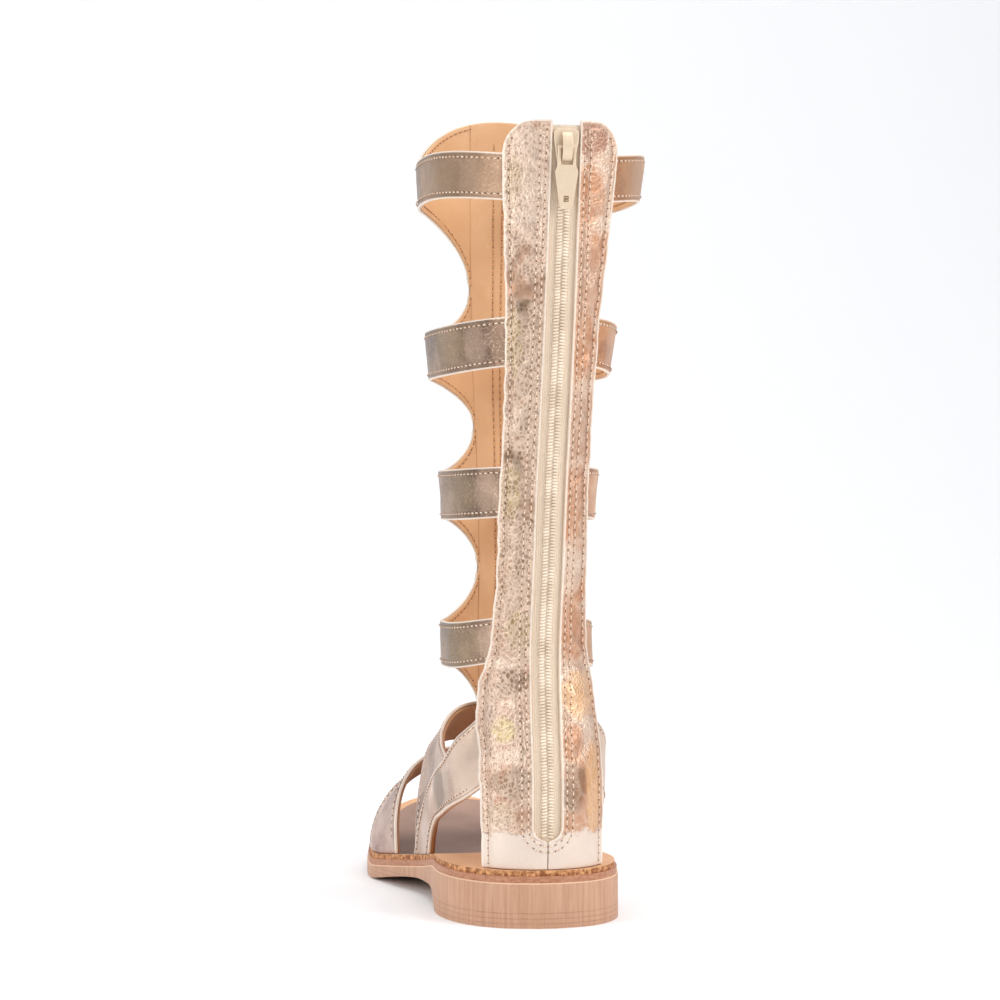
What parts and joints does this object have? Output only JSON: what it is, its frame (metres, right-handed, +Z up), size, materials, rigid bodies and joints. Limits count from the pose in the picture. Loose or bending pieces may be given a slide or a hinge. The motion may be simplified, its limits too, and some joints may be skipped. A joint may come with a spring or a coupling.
{
  "type": "gladiator sandal",
  "caption": "Tall left-foot gladiator sandal with straps round the leg, a zip up the back and a low heel.",
  "frame": {"origin": "on the floor under the middle of the bounding box", "axes": "+Z up, toe towards -Y, heel towards +Y, outer side of the left foot towards +X"},
  "size_m": [0.0819, 0.255, 0.2845],
  "materials": {
    "outsole": "tan moulded sole with fine vertical streaks",
    "welt": "rose-brown smooth edge",
    "insole": "rose-taupe footbed with a tan heel pad",
    "upper_leather": "crinkled rose-gold foil leather with a tan lining",
    "toe_leather": "smoother rose-gold foil leather",
    "zip_tape": "beige woven tape",
    "zip_coil": "beige coil",
    "zip_metal": "beige painted metal"
  },
  "bodies": {
    "sandal": {"outsole": "outsole", "midsole": "welt", "insole": "insole", "upper": "upper_leather", "toe_strap_rear": "toe_leather", "toe_strap_front": "toe_leather", "zip_tape": "zip_tape", "zip_coil": "zip_coil", "zip_slider": "zip_metal"},
    "pull": {"zip_pull": "zip_metal"}
  },
  "joints": [
    {"name": "pull_hinge", "type": "hinge", "parent": "sandal", "child": "pull", "pos_m": [-0.00314, 0.12523, 0.26], "axis": [1, 0, 0], "range_deg": [0, 165]}
  ]
}
